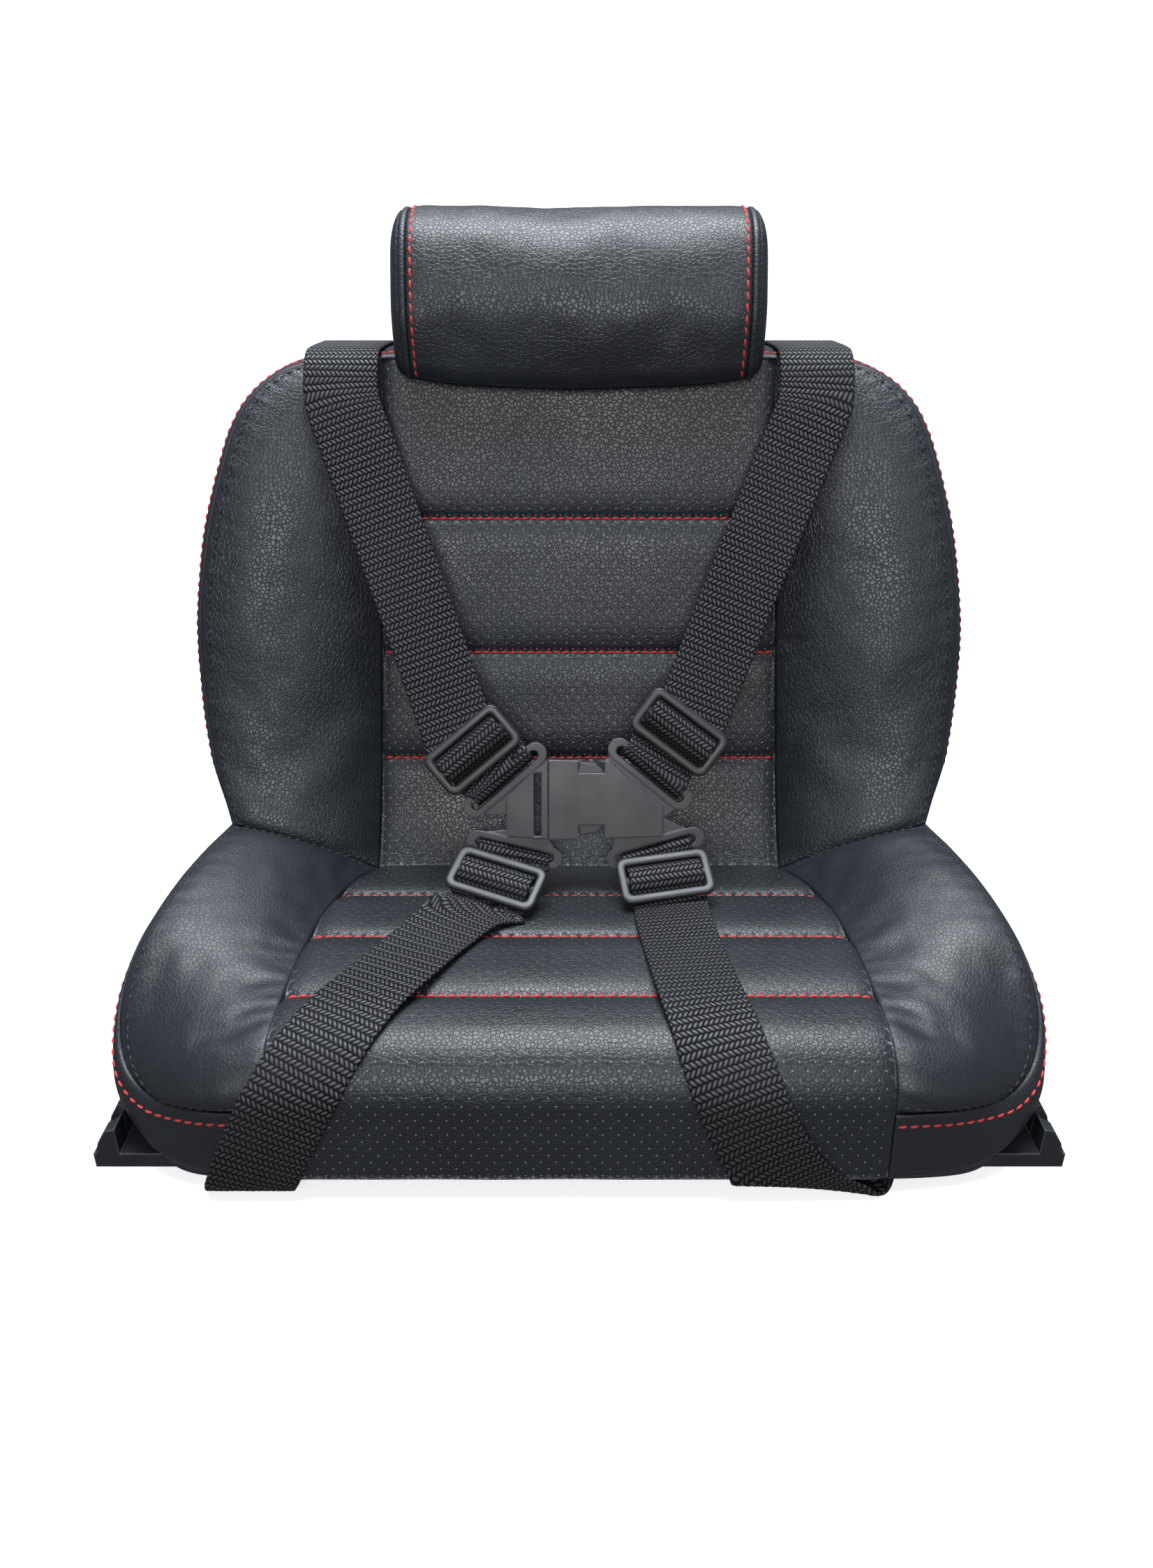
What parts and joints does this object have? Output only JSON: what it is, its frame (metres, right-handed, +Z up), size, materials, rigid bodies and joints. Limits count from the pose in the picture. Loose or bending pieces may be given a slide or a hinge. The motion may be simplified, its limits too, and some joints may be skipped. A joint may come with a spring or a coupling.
{
  "type": "racing seat",
  "caption": "Child-size racing bucket seat: leather-covered cushion and backrest with bolsters, headrest and four-point webbing harness with side-release buckle.",
  "frame": {"origin": "on the floor under the middle of the seat's outer box", "axes": "+X to the viewer's right when facing the seat, +Y to the seat's rear, +Z up"},
  "size_m": [0.342, 0.2615, 0.3015],
  "materials": {
    "leather": "grained artificial leather, satin",
    "perforated_leather": "perforated artificial leather, satin",
    "foam": "open-cell foam",
    "shell_plastic": "fine moulded texture",
    "webbing": "coarse woven polyester",
    "elastic": "ribbed elastic tape",
    "harness_plastic": "satin moulded plastic",
    "steel": "zinc plated"
  },
  "bodies": {
    "root": {"seat_shell": "shell_plastic", "pan_foam": "foam", "back_foam": "foam", "headrest_foam": "foam", "pan_centre_panel": "perforated_leather", "pan_bolster_left": "leather", "pan_bolster_right": "leather", "back_centre_panel": "perforated_leather", "back_bolster_left": "leather", "back_bolster_right": "leather", "pan_skirt_left": "leather", "pan_skirt_right": "leather", "back_side_left": "leather", "back_side_right": "leather", "rear_panel": "leather", "hem_elastic": "elastic", "headrest_cover": "leather", "headrest_cap_left": "leather", "headrest_cap_right": "leather", "shoulder_strap_left": "webbing", "shoulder_strap_right": "webbing", "lap_strap_left": "webbing", "lap_strap_right": "webbing", "shoulder_loop_right": "webbing", "lap_loop_right": "webbing", "buckle_socket": "harness_plastic", "anchor_washers": "steel", "anchor_screws": "steel"},
    "plug": {"buckle_plug": "harness_plastic", "shoulder_loop_left": "webbing", "lap_loop_left": "webbing"},
    "latch_upper": {"latch_arm_upper": "harness_plastic"},
    "latch_lower": {"latch_arm_lower": "harness_plastic"},
    "slider_shoulder_left": {"shoulder_slider_left": "harness_plastic"},
    "slider_shoulder_right": {"shoulder_slider_right": "harness_plastic"},
    "slider_lap_left": {"lap_slider_left": "harness_plastic"},
    "slider_lap_right": {"lap_slider_right": "harness_plastic"}
  },
  "joints": [
    {"name": "buckle_release", "type": "slide", "parent": "root", "child": "plug", "axis": [-1, 0, 0], "range_m": [0, 0.026], "deforming": ["shoulder_loop_left", "lap_loop_left", "shoulder_strap_left", "lap_strap_left", "latch_arm_upper", "latch_arm_lower"]},
    {"name": "latch_upper_press", "type": "hinge", "parent": "plug", "child": "latch_upper", "pos_m": [-0.012, 0.00825, 0.09393], "axis": [0, 0.9397, -0.342], "range_deg": [0, 8], "stiffness_Nm_per_rad": 0.4},
    {"name": "latch_lower_press", "type": "hinge", "parent": "plug", "child": "latch_lower", "pos_m": [-0.012, 0.00175, 0.07607], "axis": [0, -0.9397, 0.342], "range_deg": [0, 8], "stiffness_Nm_per_rad": 0.4},
    {"name": "shoulder_left_adjust", "type": "slide", "parent": "plug", "child": "slider_shoulder_left", "axis": [-0.349, 0.375, 0.8588], "range_m": [0, 0.03], "deforming": ["shoulder_strap_left", "shoulder_loop_left"]},
    {"name": "shoulder_right_adjust", "type": "slide", "parent": "root", "child": "slider_shoulder_right", "axis": [0.3813, 0.3692, 0.8475], "range_m": [0, 0.03], "deforming": ["shoulder_strap_right", "shoulder_loop_right"]},
    {"name": "lap_left_adjust", "type": "slide", "parent": "plug", "child": "slider_lap_left", "axis": [-0.5134, -0.8557, 0.0642], "range_m": [0, 0.015], "deforming": ["lap_strap_left", "lap_loop_left"]},
    {"name": "lap_right_adjust", "type": "slide", "parent": "root", "child": "slider_lap_right", "axis": [0.0967, -0.9931, 0.0659], "range_m": [0, 0.015], "deforming": ["lap_strap_right", "lap_loop_right"]}
  ],
  "couplings": [
    {"joint": "latch_lower_press", "follows": "latch_upper_press", "ratio": 1}
  ]
}
